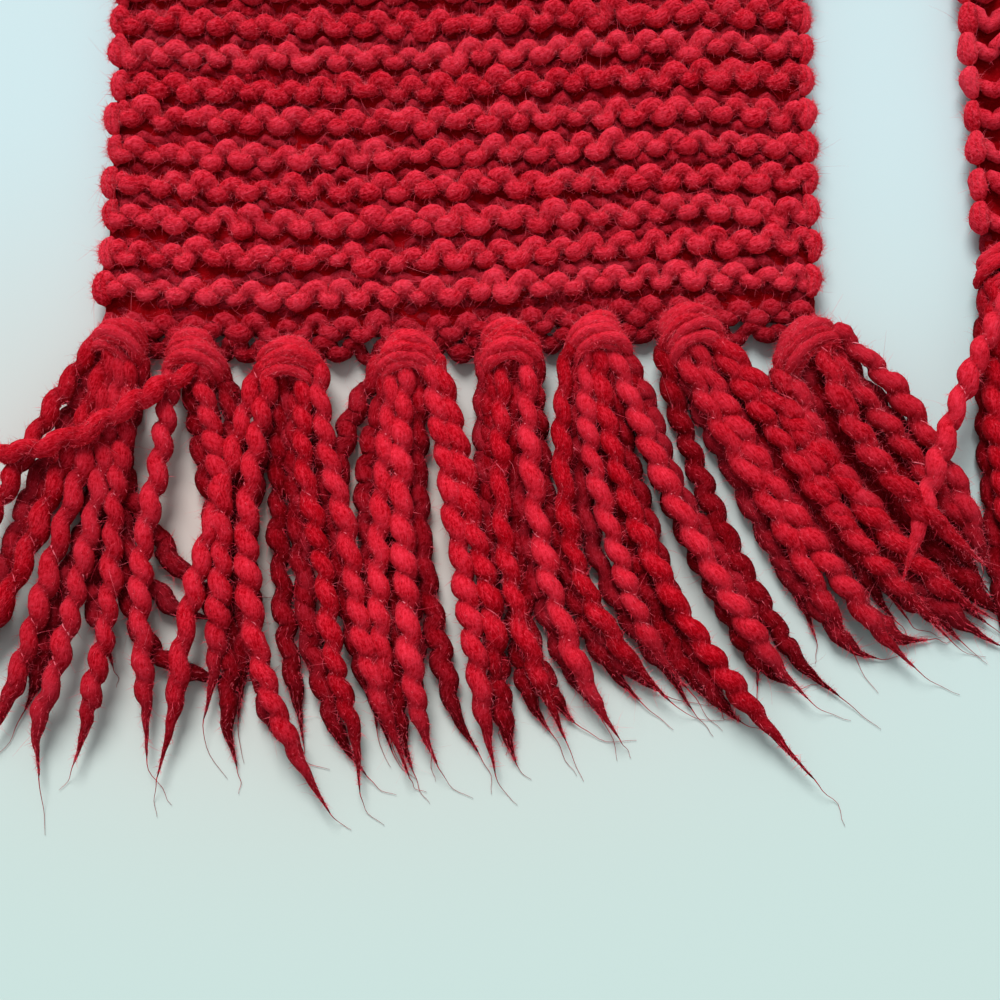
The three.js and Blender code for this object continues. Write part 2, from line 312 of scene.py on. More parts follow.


# Wool: fibres run along the yarn. Darker and paler fibres are the wool's own; the Light colour on the palest streaks
# and on single hairs is a painted highlight of the outer fibres catching the light
def makeFibreGroup():
    group = bpy.data.node_groups.new("woolFibres", "ShaderNodeTree")
    sockets = group.interface
    for title in ("Deep", "Mid", "Light"):
        sockets.new_socket(title, in_out="INPUT", socket_type="NodeSocketColor")
    for title in ("Along", "Around", "Contrast", "Fluff", "Hollows", "Hairs"):
        sockets.new_socket(title, in_out="INPUT", socket_type="NodeSocketFloat")
    sockets.new_socket("Color", in_out="OUTPUT", socket_type="NodeSocketColor")
    sockets.new_socket("Height", in_out="OUTPUT", socket_type="NodeSocketFloat")
    link = group.links.new
    given = group.nodes.new("NodeGroupInput").outputs
    leave = group.nodes.new("NodeGroupOutput")

    def attribute(title):
        return addNode(group, "Attribute", attribute_name=title)

    def multiplied(vector):
        node = addNode(group, "VectorMath", operation="MULTIPLY")
        link(vector, node.inputs[0])
        return node

    def noise(kind, vector):
        node = addNode(group, "TexNoise", noises[kind])
        link(vector, node.inputs["Vector"])
        return node.outputs["Fac"]

    def spread(value, between):
        node = addNode(group, "MapRange", dict(zip(("From Min", "From Max"), between)))
        link(value, node.inputs["Value"])
        return node.outputs["Result"]

    def calc(operation, first, second):
        node = addNode(group, "Math", operation=operation)
        for socket, value in zip(node.inputs, (first, second)):
            if isinstance(value, (int, float)):
                socket.default_value = value
            else:
                link(value, socket)
        return node.outputs[0]

    def times(first, second):
        return calc("MULTIPLY", first, second)

    def blend(factor, first, second):
        node = addNode(group, "Mix", data_type="RGBA")
        for title, value in (("Factor", factor), ("A", first), ("B", second)):
            link(value, node.inputs[title])
        return node.outputs["Result"]

    place = attribute("yarnPlace").outputs["Vector"]
    where = addNode(group, "TexCoord").outputs["Object"]
    scale = addNode(group, "CombineXYZ")
    for socket, title in zip(scale.inputs, ("Along", "Around", "Around")):
        link(given[title], socket)
    stretch = multiplied(place)
    link(scale.outputs[0], stretch.inputs[1])
    fibres = noise("fibres", stretch.outputs[0])
    fluff = noise("fluff", where)

    # From dark to light by fibres, blotches, fluff and a tone for each yarn
    streak = times(spread(fibres, grain["fibreRange"]), given["Contrast"])
    cloud = calc("ADD", times(noise("blotches", where), grain["blotches"]),
                 times(spread(fluff, grain["fluffRange"]), given["Fluff"]))
    yarnTone = times(attribute("yarnTone").outputs["Fac"], grain["yarnToYarn"])
    sumUp = calc("ADD", calc("ADD", streak, cloud), yarnTone)
    coat = blend(times(sumUp, grain["toMid"]), given["Deep"], given["Mid"])
    # The palest streaks take the Light colour: a painted highlight
    shine = calc("SUBTRACT", times(sumUp, grain["toLight"]), grain["lightStart"])
    shine.node.use_clamp = True
    coat = blend(shine, coat, given["Light"])

    # Single hairs drawn along the yarn in the Light colour, a painted highlight
    pull = addNode(group, "SeparateXYZ")
    link(place, pull.inputs[0])
    for slant in grain["hairSlants"]:
        turned = addNode(group, "VectorRotate", rotation_type="X_AXIS")
        link(place, turned.inputs["Vector"])
        link(times(pull.outputs["X"], slant), turned.inputs["Angle"])
        drawn = multiplied(turned.outputs[0])
        drawn.inputs[1].default_value = grain["hairStretch"]
        pick = spread(noise("hairs", drawn.outputs[0]), grain["hairRange"])
        coat = blend(times(pick, given["Hairs"]), coat, given["Light"])

    # Painted shade: darker where yarnShade is low, in the hollows and under upper layers; Hollows is the colour's
    # share at the darkest
    lit = addNode(group, "MapRange")
    link(attribute("yarnShade").outputs["Fac"], lit.inputs["Value"])
    link(given["Hollows"], lit.inputs["To Min"])
    hollow = addNode(group, "VectorMath", operation="SCALE")
    link(coat, hollow.inputs[0])
    link(lit.outputs["Result"], hollow.inputs["Scale"])
    link(hollow.outputs[0], leave.inputs["Color"])
    rough = times(times(fluff, given["Fluff"]), grain["fluffRelief"])
    link(calc("ADD", fibres, rough), leave.inputs["Height"])
    return group


fibreGroup = makeFibreGroup()

woolFinish = {"Roughness": 0.85, "Specular IOR Level": 0.02,
              "Sheen Roughness": 0.45, "Sheen Tint": (1.0, 0.35, 0.42, 1)}
reliefDepth = 0.0006  # in metres


def makeWool(name, relief, sheen, look):
    material = bpy.data.materials.new(name)
    material.use_nodes = True
    tree = material.node_tree
    shader = tree.nodes["Principled BSDF"]
    fibres = addNode(tree, "Group", look, node_tree=fibreGroup)
    bump = addNode(tree, "Bump", {"Strength": relief, "Distance": reliefDepth})
    tree.links.new(fibres.outputs["Color"], shader.inputs["Base Color"])
    tree.links.new(fibres.outputs["Height"], bump.inputs["Height"])
    tree.links.new(bump.outputs["Normal"], shader.inputs["Normal"])
    setValues(shader, {**woolFinish, "Sheen Weight": sheen})
    return material


hairGrain = {"Along": 0.5, "Around": 1.0, "Contrast": 0.3, "Fluff": 0.2, "Hollows": 0.3, "Hairs": 0.0}
knitWool = makeWool("knitWool", 0.8, 0.03, {
    "Deep": (0.16, 0.0004, 0.0015, 1), "Mid": (0.61, 0.001, 0.011, 1), "Light": (1.0, 0.06, 0.105, 1),
    "Along": 0.55, "Around": 5.5, "Contrast": 0.42, "Fluff": 0.4, "Hollows": 0.42, "Hairs": 0.5})
# Where the knit has less hair and no yarn in its furrows
farWool = makeWool("farWool", 0.6, 0.03, {
    "Deep": (0.2, 0.0005, 0.002, 1), "Mid": (0.66, 0.002, 0.013, 1), "Light": (1.0, 0.065, 0.11, 1),
    "Along": 0.55, "Around": 5.5, "Contrast": 0.42, "Fluff": 0.4, "Hollows": 0.6, "Hairs": 0.5})
fringeWool = makeWool("fringeWool", 0.6, 0.02, {
    "Deep": (0.16, 0.0004, 0.0015, 1), "Mid": (0.61, 0.001, 0.009, 1), "Light": (1.0, 0.045, 0.085, 1),
    "Along": 0.5, "Around": 7.0, "Contrast": 0.36, "Fluff": 0.3, "Hollows": 0.16, "Hairs": 0.5})
# The ground's darker colours are painted shade of the furrows between the ridges
shadedGroundWool = makeWool("shadedGroundWool", 0.6, 0.0, {
    "Deep": (0.18, 0.0, 0.001, 1), "Mid": (0.38, 0.002, 0.006, 1), "Light": (0.44, 0.012, 0.02, 1),
    "Along": 0.5, "Around": 2.0, "Contrast": 0.3, "Fluff": 0.3, "Hollows": 1.0, "Hairs": 0.0})
fuzzWool = makeWool("fuzzWool", 0.1, 0.1, {
    "Deep": (0.6, 0.01, 0.03, 1), "Mid": (0.88, 0.05, 0.09, 1), "Light": (1.0, 0.32, 0.38, 1), **hairGrain})
fibreWool = makeWool("fibreWool", 0.1, 0.2, {
    "Deep": (0.72, 0.03, 0.06, 1), "Mid": (0.88, 0.12, 0.17, 1), "Light": (1.0, 0.42, 0.48, 1), **hairGrain})
print("wool materials made")


# Where points of the cloth lie. u runs across the knit, v along it, h above its middle.
def hemAt(u):
    places, drops = zip(*hemLine)
    return np.interp(u, places, drops)


def onLeg(left, low):
    def placed(u, v, h):
        y = v + low + hemAt(u) * np.exp(-v / knit["hemReach"])
        return np.stack([left + u, y, knit["thickness"] / 2 + h], axis=-1)

    return placed


onFirstLeg = onLeg(0.0, 0.0)
onSecondLeg = onLeg(secondLeft, knit["secondSetback"])


# The crossing stretch: v is now x, u runs up the page from the legs' inner corners.
# Past the 45 degree line the cloth turns down around the fold.
def onCrossing(u, v, h):
    left = v < fullWidth / 2
    x = np.where(left, v, fullWidth - v)
    past = (u - x) / root2
    turning = past > 0
    rolled = np.clip(past, 0, None)
    angle = np.clip(np.pi / 2 - rolled / clothMiddle, -np.pi / 2, np.pi / 2)
    axisPlace = root2 * x + rolled
    outward = (clothMiddle + h) * np.cos(angle)
    rolledX = (axisPlace - outward) / root2
    rolledY = knit["legLength"] + (axisPlace + outward) / root2
    rolledZ = rollMiddle + (clothMiddle + h) * np.sin(angle)
    inGap = np.clip((v - knit["width"]) / knit["endGap"], 0, 1)
    sag = knit["gapSag"] * np.sin(np.pi * inGap) ** 2
    flatZ = rollMiddle + clothMiddle + h - sag
    px = np.where(turning, rolledX, x)
    py = np.where(turning, rolledY, knit["legLength"] + u)
    pz = np.where(turning, rolledZ, flatZ)
    return np.stack([np.where(left, px, fullWidth - px), py, pz], axis=-1)


# Each yarn's bumps lie its swing above and below the row's middle and its height above the middle of the
# cloth. It dives by its dip from one bump to the next.
yarns = {
    "ridge": {"radius": 2.3, "swing": 1.7, "height": 2.3, "dip": 0.95},
    # The valley yarn lies lower, so the painted shade makes it dimmer
    "valley": {"radius": 1.75, "swing": 1.1, "height": -0.3, "dip": 1.0},  # dimmer, between two ridges
    "hem": {"radius": 2.3, "swing": 1.7, "height": 1.0, "dip": 1.2},
}
# How uneven the hand is, mostly as spreads about the values above
hand = {
    "bumpPlace": 0.5, "rowPlace": 0.8, "swing": 0.36, "height": 0.45, "radius": 0.14,
    "radiusLimits": (-0.25, 0.3), "wander": 0.30, "wanderShare": 0.45, "plump": 1.04,
    "upperLift": 0.2,  # upper bumps lie higher than lower ones
    "dwell": 0.35,  # bumps take more of the yarn than the way between them
    "thinning": 0.09,  # between two bumps
    "selvedge": 1.2,  # no bump's middle is nearer the edge
}


# One ridge: a single yarn that swings from an upper bump to a lower one across the knit
def ridgeLines(centres, yarn, pointsPerBump):
    bumps = knit["stitches"] * knit["bumpsPerStitch"]
    m = len(centres)
    up = np.where(np.arange(bumps) % 2 == 0, 1.0, -1.0)[None]
    uBump = (np.arange(bumps) + 0.5)[None] * (stitch / knit["bumpsPerStitch"])
    uBump = uBump + offBy(hand["bumpPlace"], m, bumps) + offBy(hand["rowPlace"], m, 1)
    uBump = np.clip(uBump, hand["selvedge"], knit["width"] - hand["selvedge"])
    vBump = up * yarn["swing"] * (1 + offBy(hand["swing"], m, bumps))
    hBump = yarn["height"] + hand["upperLift"] * up + offBy(hand["height"], m, bumps)
    uneven = np.clip(offBy(hand["radius"], m, bumps), *hand["radiusLimits"])
    rBump = yarn["radius"] * (hand["plump"] + uneven)
    wander = np.cumsum(offBy(hand["wander"], m, bumps), axis=1)
    wander -= wander.mean(axis=1, keepdims=True)
    vBump = vBump + hand["wanderShare"] * wander
    place = np.linspace(0, bumps - 1, (bumps - 1) * pointsPerBump + 1)
    low = np.minimum(place.astype(int), bumps - 2)
    share = (place - low)[None]
    ease = smooth(share)
    dwell = share + hand["dwell"] * np.sin(fullTurn * share) / fullTurn
    between = np.sin(np.pi * share) ** 2
    u = lerp(uBump[:, low], uBump[:, low + 1], dwell)
    v = lerp(vBump[:, low], vBump[:, low + 1], ease)
    h = lerp(hBump[:, low], hBump[:, low + 1], ease) - yarn["dip"] * between
    r = lerp(rBump[:, low], rBump[:, low + 1], ease) * (1 - hand["thinning"] * between)
    return u, v + centres[:, None], h, r


def roundEnds(radii, points=3):
    bluntness = 0.35
    share = (np.arange(points) + bluntness) / points
    fall = np.sqrt(1 - (1 - share) ** 2)
    radii[:, :points] *= fall
    radii[:, -points:] *= fall[::-1]
    return radii


nub = {
    "inset": 3.6,  # of its ends from the selvedge
    "bulge": 1.5,  # its middle stands this much further out
    "halfLength": 4.6, "height": 1.2, "rise": 0.7, "radius": 1.5, "swell": 0.75, "insetSpread": 0.35,
    # shadeRange: heights of the nubs' painted shade
    "alongSpread": 0.4, "heightSpread": 0.3, "radiusSpread": 0.08, "shadeRange": (1.0, 5.0), "endPoints": 2,
}


# The round nubs that stand out at a selvedge, one for each ridge
def nubLines(centres, side, count, further=0.0):
    m = len(centres)
    t = np.linspace(-1, 1, count)[None]
    arch = 1 - t * t
    out = nub["inset"] - further - nub["bulge"] * arch + offBy(nub["insetSpread"], m, 1)
    u = np.where(side > 0, out, knit["width"] - out)
    v = centres[:, None] + t * nub["halfLength"] + offBy(nub["alongSpread"], m, 1)
    h = nub["height"] + nub["rise"] * arch + offBy(nub["heightSpread"], m, 1)
    r = (nub["radius"] + nub["swell"] * arch) * (1 + offBy(nub["radiusSpread"], m, 1))
    return u, v, h, r


# Points and sides of the yarns' tubes and hairs on each: finest where the photo shows the knit
knitDetail = {
    "first": {"points": 8, "sides": 11, "lumps": 0.07, "fuzz": 11800, "valleys": True,
              "nubs": {"points": 9, "sides": 11, "further": 0.0, "size": 1.0, "fuzz": 737}},
    "second": {"points": 3, "sides": 6, "lumps": 0.07, "fuzz": 160, "valleys": False,
               "nubs": {"points": 9, "sides": 10, "further": 2.2, "size": 1.2, "fuzz": 420}},
    "far": {"points": 3, "sides": 5, "lumps": 0.04, "fuzz": 20, "valleys": False,
            "nubs": {"points": 5, "sides": 5, "further": 0.0, "size": 1.0, "fuzz": 2}},
}
valleyDetail = {"points": 3, "sides": 6}
hollowRange = (4.3, 8.2)  # heights between which the painted shade goes from its darkest to none


def addKnit(store, hairs, where, centres, detail):
    shaped = {"lumps": detail["lumps"], "shadeRange": hollowRange}
    u, v, h, r = ridgeLines(centres, yarns["ridge"], detail["points"])
    points = where(u, v, h)
    tones = rng.random(len(centres))
    made = addTubes(store, points, roundEnds(r), detail["sides"], tones, **shaped)
    fuzzOn(hairs, made, points, detail["fuzz"])
    if detail["valleys"]:
        u, v, h, r = ridgeLines(centres + pitch / 2, yarns["valley"], valleyDetail["points"])
        addTubes(store, where(u, v, h), roundEnds(r), valleyDetail["sides"], tones, **shaped)
    nubs = detail["nubs"]
    for side in (1, -1):
        u, v, h, r = nubLines(centres, side, nubs["points"], nubs["further"])
        points = where(u, v, h)
        made = addTubes(store, points, roundEnds(r * nubs["size"], nub["endPoints"]), nubs["sides"],
                        rng.random(len(centres)), lumps=detail["lumps"], shadeRange=nub["shadeRange"])
        fuzzOn(hairs, made, points, nubs["fuzz"])


# The cast-on edge: three close rows that end the knit at the hem
hemRows = ((8.4, -3.0, 5.0), (3.0, 0.0, 3.8), (-2.2, -1.8, 4.6))  # place along the leg, raised by, height below which the painted shade is darkest
hem = {"points": 6, "sides": 9, "lumps": 0.07, "shadeDepth": 7.5}


def addHem(store, hairs, where, fuzzPer):
    for along, raised, dark in hemRows:
        u, v, h, r = ridgeLines(np.array([along]), yarns["hem"], hem["points"])
        points = where(u, v, h + raised)
        made = addTubes(store, points, roundEnds(r), hem["sides"], rng.random(1), lumps=hem["lumps"],
                        shadeRange=(dark, dark + hem["shadeDepth"]))
        fuzzOn(hairs, made, points, fuzzPer)


firstCentres = (np.arange(1, int(knit["legLength"] / pitch) + 1) + knit["firstRow"]) * pitch
secondCount = int((knit["legLength"] - knit["secondSetback"]) / pitch) + 1
secondCentres = (np.arange(1, secondCount) + knit["firstRow"]) * pitch
fine = knit["fineRidges"]

knitFuzz, farFuzz = emptyStore(), emptyStore()
for name, where, centres, kind, hairs, wool in (
    ("firstEndRidges", onFirstLeg, firstCentres[:fine], "first", knitFuzz, knitWool),
    ("secondEndRidges", onSecondLeg, secondCentres[:fine], "second", knitFuzz, knitWool),
    ("firstLegRidges", onFirstLeg, firstCentres[fine:], "far", farFuzz, farWool),
    ("secondLegRidges", onSecondLeg, secondCentres[fine:], "far", farFuzz, farWool),
):
    store = emptyStore()
    addKnit(store, hairs, where, centres, knitDetail[kind])
    if kind != "far":
        addHem(store, hairs, where, knitDetail[kind]["fuzz"] // fewerHairs)
    makePiece(name, store, wool)

crossing = {
    # shadeRange: heights of the crossing's painted shade
    "points": 3, "sides": 6, "lumps": 0.04, "fuzz": 20, "shadeRange": (-6.0, layerTwo + 6.0),
    "turned": 0.86,  # the ridges go this share of the way around a fold
    "groundTurned": 0.93, "fewestPoints": 5, "nubPoints": 5,
    "innerNubs": 12.0,  # how far past the gap the inner selvedge has nubs
    "firstRow": 0.6,
}


# Ridges of the crossing end where the cloth has turned under at a fold
def addCrossingRidges(store, hairs, centres):
    shaped = {"lumps": crossing["lumps"], "shadeRange": crossing["shadeRange"]}
    u, v, h, r = ridgeLines(centres, yarns["ridge"], crossing["points"])
    tones = rng.random(len(centres))
    for i, centre in enumerate(centres):
        x = min(centre, fullWidth - centre)
        reach = min(knit["width"], x + root2 * clothMiddle * np.pi * crossing["turned"])
        keep = u[i] < reach
        if keep.sum() < crossing["fewestPoints"]:
            continue
        line = onCrossing(u[i:i + 1, keep], v[i:i + 1, keep], h[i:i + 1, keep])
        radii = roundEnds(r[i:i + 1, keep].copy(), nub["endPoints"])
        made = addTubes(store, line, radii, crossing["sides"], tones[i:i + 1], **shaped)
        fuzzOn(hairs, made, line, crossing["fuzz"])
    everywhere = centres > 0
    overGap = np.abs(centres - fullWidth / 2) < knit["endGap"] / 2 + crossing["innerNubs"]
    for side, chosen in ((1, everywhere), (-1, overGap)):
        u, v, h, r = nubLines(centres[chosen], side, crossing["nubPoints"])
        addTubes(store, onCrossing(u, v, h), roundEnds(r, nub["endPoints"]), crossing["sides"], tones[chosen],
                 **shaped)


crossingCentres = (np.arange(int(fullWidth / pitch)) + crossing["firstRow"]) * pitch
store = emptyStore()
addCrossingRidges(store, farFuzz, crossingCentres)
makePiece("crossingRidges", store, farWool)

# The ground's heights are above the middle of the cloth
ground = {
    "inset": 2.2,  # from the selvedges
    "columns": 25, "rowStep": 5.0, "crest": 0.2, "valley": -0.6, "weave": 0.35, "legUnderside": -4.2,
    "crossingUnderside": -3.6, "legStart": 2.5,
    "legEnd": 8.0,  # short of the corner's far end
    "foldInset": 1.5, "crossingStart": 2.0, "grainStep": (4.0, 2.5),
}
uFull = np.linspace(ground["inset"], knit["width"] - ground["inset"], ground["columns"])
uShare = (uFull - uFull[0]) / (uFull[-1] - uFull[0])


# The ground of the knit between the ridges: a soft shell with a furrow beside each ridge, coloured darker than the
# ridges' wool as painted shade of the furrows
def clothShell(name, where, vPlaces, uPlacesOf, underside, replaced):
    store = emptyStore()
    rows = []
    for v in vPlaces:
        u = uPlacesOf(v)
        phase = fullTurn * (v / pitch - knit["firstRow"])
        weave = ground["weave"] * np.sin(fullTurn * u / stitch)
        top = lerp(ground["valley"], ground["crest"], 0.5 + 0.5 * math.cos(phase)) + weave
        upper = where(u, np.full_like(u, v), top)
        lower = where(u[::-1], np.full_like(u, v), np.full_like(u, underside))
        rows.append(np.concatenate([upper, lower]))
    grid = np.array(rows)
    n, k = grid.shape[:2]
    row, corner = np.meshgrid(np.arange(n - 1), np.arange(k), indexing="ij")
    a = row * k + corner
    b = row * k + (corner + 1) % k
    store["quads"].append(np.stack([a, a + k, b + k, b], axis=-1).reshape(-1, 4))
    for base, flip in ((0, True), ((n - 1) * k, False)):
        for j in range(k // 2 - 1):
            face = [base + j, base + j + 1, base + k - 2 - j, base + k - 1 - j]
            store["quads"].append(np.array([face if flip else face[::-1]]))
    aroundStep, alongStep = ground["grainStep"]
    place = together(np.arange(k)[None] * aroundStep, np.arange(n)[:, None] * alongStep, 0.0)
    addPoints(store, grid, place, np.zeros(n * k), np.zeros(n * k))
    return makePiece(name, store, shadedGroundWool, replaced)


def legShell(name, where, length, replaced):
    def across(v):
        low = max(ground["inset"], v - length + ground["foldInset"])
        return lerp(low, knit["width"] - ground["inset"], uShare)

    end = length + knit["width"] - ground["legEnd"]
    return clothShell(name, where, np.arange(ground["legStart"], end, ground["rowStep"]), across,
                      ground["legUnderside"], replaced)


def flipped(where):
    return lambda u, v, h: where(knit["width"] - u, v, h)


def crossingAcross(v):
    x = min(v, fullWidth - v)
    turned = x + root2 * clothMiddle * np.pi * crossing["groundTurned"]
    return lerp(ground["inset"], min(knit["width"] - ground["inset"], turned), uShare)


shells = [
    legShell("firstLegGround", onFirstLeg, knit["legLength"], ["knit_first_leg"]),
    legShell("secondLegGround", flipped(onSecondLeg), knit["legLength"] - knit["secondSetback"],
             ["knit_second_leg"]),
    clothShell("crossingGround", onCrossing, np.arange(ground["crossingStart"], fullWidth - 1, ground["rowStep"]),
               crossingAcross, ground["crossingUnderside"], ["knit_crossing"]),
]
print("knit made")

# The first end's tassels as they lie: the knot's place, tilt, size, lit (a painted shade share for the whole tassel)
# and how low it hangs, then for each strand its layer, a place halfway along it and its tip
tasselColumns = ("across", "tilt", "size", "lit", "low", "strands")
firstTasselRows = [
    (9.5, -24, 0.94, 0.76, 0.3, [
        (1, -18, -40, -38, -88), (0, -17, -52, -30, -101), (1, -10, -56, -36, -96), (1, -7, -66, -22, -112),
        (0, -4, -66, -14, -104), (1, 0, -70, -12, -120), (1, 8, -70, 1, -118), (0, 11, -58, 36, -80),
        (0, 13, -50, 37, -72), (0, 12, -74, 44, -96), (0, -12, -46, -30, -84), (0, 3, -56, 8, -92)]),
    (28.3, -10, 1.06, 0.86, 2.6, [
        (2, -2, -31, -33, -36.5), (1, 17.5, -62, 19, -116), (1, 37, -56, 34, -106), (0, 38, -72, 40, -118),
        (0, 42, -58, 42, -106), (0, 33, -50, 35, -90), (0, 41, -38, 45, -98)]),
    (53.8, 0, 1.1, 0.95, 2.6, [
        (1, 33, -62, 23, -121), (1, 45, -74, 67, -130), (1, 63, -66, 77, -124), (1, 71, -66, 87, -121),
        (0, 59, -74, 75, -121), (0, 44, -74, 54, -113), (0, 52, -63, 60, -112), (0, 67, -60, 82, -114),
        (0, 57, -56, 66, -108)]),
    (86.1, 2, 1.0, 1.0, 1.4, [
        (0, 67, -42, 73, -84), (1, 79, -63, 83, -111), (1, 85, -69, 94, -118), (0, 82, -76, 88, -119),
        (0, 91, -68, 104, -115), (1, 101, -66, 109, -120), (1, 105.5, -60, 110, -104), (0, 87, -58, 91, -112),
        (0, 75, -60, 80, -108)]),
    (113.4, 4, 1.04, 1.0, 1.0, [
        (0, 107, -52, 111, -110), (1, 113, -66, 129, -111), (1, 123, -66, 142, -111), (0, 109, -78, 115, -117),
        (0, 112, -70, 124, -109), (0, 119, -60, 136, -105), (0, 127, -64, 148, -101), (0, 117, -76, 131, -106)]),
    (136.1, 8, 1.0, 0.95, 0.2, [
        (1, 130.5, -62, 156, -101), (1, 140, -59, 160, -98), (1, 152, -66, 193, -121),
        (1, 162.5, -59, 191.5, -101), (0, 156, -73, 174, -107), (0, 148, -68, 168, -102),
        (0, 138, -64, 163, -101), (0, 165, -66, 188, -98), (0, 132, -68, 153, -98), (0, 163, -48, 182, -96)]),
    (160.5, 22, 1.06, 0.84, -0.6, [
        (0, 171, -57, 199, -101), (0, 176, -44, 196, -84), (1, 183, -52, 204, -86), (1, 189, -53, 220, -93),
        (1, 206, -48, 240, -80), (0, 186, -62, 210, -91), (1, 197, -48, 230, -84), (0, 183, -50, 201, -82),
        (0, 196, -60, 224, -87), (0, 206, -58, 234, -83), (0, 192, -44, 216, -80)]),
    (192.0, 36, 1.34, 0.68, 3.6, [
        (2, 210, -38, 240, -66), (1, 219, -34, 241, -64), (1, 226, -31, 243, -72), (0, 214, -52, 241, -80),
        (1, 201, -38, 228, -74), (0, 222, -42, 241, -72), (0, 206, -44, 228, -74), (0, 219, -32, 238, -58),
        (0, 215, -27, 238, -60), (0, 212, -37, 236, -66), (0, 225, -35, 244, -64), (0, 212, -58, 244, -86),
        (0, 220, -50, 247, -81), (1, 193, -35, 219, -80), (0, 189, -34, 213, -74)]),
]
firstFringe = [dict(zip(tasselColumns, row)) for row in firstTasselRows]
# The second end's: middle of the knot, the two outer tips and the sideways bow
fanColumns = ("across", "leftX", "leftY", "rightX", "rightY", "bow")
secondFans = [
    (6.5, 2, -112, 25, -122, -3),
    (34, 31, -124, 54, -120, -1),
    (60, 60, -121, 83, -126, 0),
    (86, 89, -127, 112, -122, 1),
    (112, 118, -121, 141, -127, 1),
    (139, 147, -125, 170, -120, 2),
    (166, 176, -119, 199, -124, 3),
    (192, 206, -122, 231, -106, 5),
]
# Its loose strand that crosses over to the first end: bend and tip
secondStray = {"bend": (-14, -40), "tip": (-27, -92)}

fan = {
    "perLayer": 4,
    "halfWidth": 6.8,  # of the strands' roots
    "rootY": -9.0,
    "layerShift": 1 / 6,  # the upper layer lies between the strands of the lower
    # lit darkens the second end's tassels with painted shade
    "layerShort": 7.0, "uneven": 4.0, "bend": (0.42, 0.45), "lit": 0.9,
}

fringe = {
    "rootSpread": 6.9, "rootDepth": 3.6, "radius": 2.75, "helix": 0.6, "twistPitch": 8.8,
    # grooveDim: how much painted shade darkens the groove
    "grooveDepth": 0.1, "grooveDim": 0.35,
    "depthRange": (2.7, 11.6),  # heights between which the painted shade goes from its darkest to none
    "lying": (3.1, 8.4, 13.6),  # height of the strands' middles, layer by layer
    "rootHeight": 5.6, "layerRise": 2.4,
    "settled": 0.25,  # the strand has come down from its knot by this share of its length
    "drop": (0.66, 0.34),  # where its end sinks, as start and length
    "upperDrop": 4.8, "lowerDrop": 1.9, "loose": {"layer": 2, "rootShare": 0.35, "rootDepth": 2.5},
}
sway = {"spread": 1.1, "waves": (1.5, 3.2), "hookSpread": 2.4, "hookStart": 0.72, "hookLength": 0.28, "hookWaves": 2.6}
thickness = {
    "spread": (0.92, 1.08), "rootShare": 0.86, "full": 0.25,
    "taper": (0.79, 0.21),  # where the end thins, as start and length
    "taperDepth": 0.9, "taperShape": 0.85, "slub": 0.07, "slubWaves": (2, 5),
}
twist = {
    "pitchSpread": (0.86, 1.2), "uneven": 0.7, "unevenLength": (5, 11),
    "plain": (0.7, 0.2),  # where the twist opens towards the tip, as start and length
    "plainHelix": 0.5, "plainGroove": 0.8, "lowest": 0.25, "grain": -0.16, "lumps": 0.04,
}
# shadeRange: heights of the threads' painted shade
thread = {"radius": 0.19, "depth": 0.61, "lowest": 0.35, "sides": 3, "shadeRange": (0.5, 9.5)}


def unevenness(seed):
    fast, slow = 12.9898, 4.1414
    return math.sin(seed * fast) * math.cos(seed * slow)


def halfway(root, bend, tip):
    return [(root[k] + 2 * bend[k] + tip[k]) / 4 for k in (0, 1)]


# Spreads a tassel of the second end out of its fan
def spreadFan(values, index):
    row = dict(zip(fanColumns, values))
    last = fan["perLayer"] - 1
    strands = []
    for level in (0, 1):
        for i in range(fan["perLayer"]):
            share = i / last + level * fan["layerShift"]
            root = (row["across"] + lerp(-fan["halfWidth"], fan["halfWidth"], i / last), fan["rootY"])
            uneven = fan["uneven"] * unevenness(index * 7 + i * 3 + level)
            tip = (lerp(row["leftX"], row["rightX"], share),
                   lerp(row["leftY"], row["rightY"], share) + fan["layerShort"] * level + uneven)
            bend = (lerp(root[0], tip[0], fan["bend"][0]) + row["bow"], lerp(root[1], tip[1], fan["bend"][1]))
            strands.append((level, *halfway(root, bend, tip), *tip))
    if index == 0:
        middle = halfway((row["across"], fan["rootY"]), secondStray["bend"], secondStray["tip"])
        strands.append((fringe["loose"]["layer"], *middle, *secondStray["tip"]))
    return {"across": row["across"], "tilt": 0, "size": 1.0, "lit": fan["lit"], "low": 0.0, "strands": strands}


secondFringe = [spreadFan(values, index) for index, values in enumerate(secondFans)]


def knotAxes(tassel):
    tilt = math.radians(tassel["tilt"])
    return np.array([math.cos(tilt), math.sin(tilt)]), np.array([math.sin(tilt), -math.cos(tilt)])


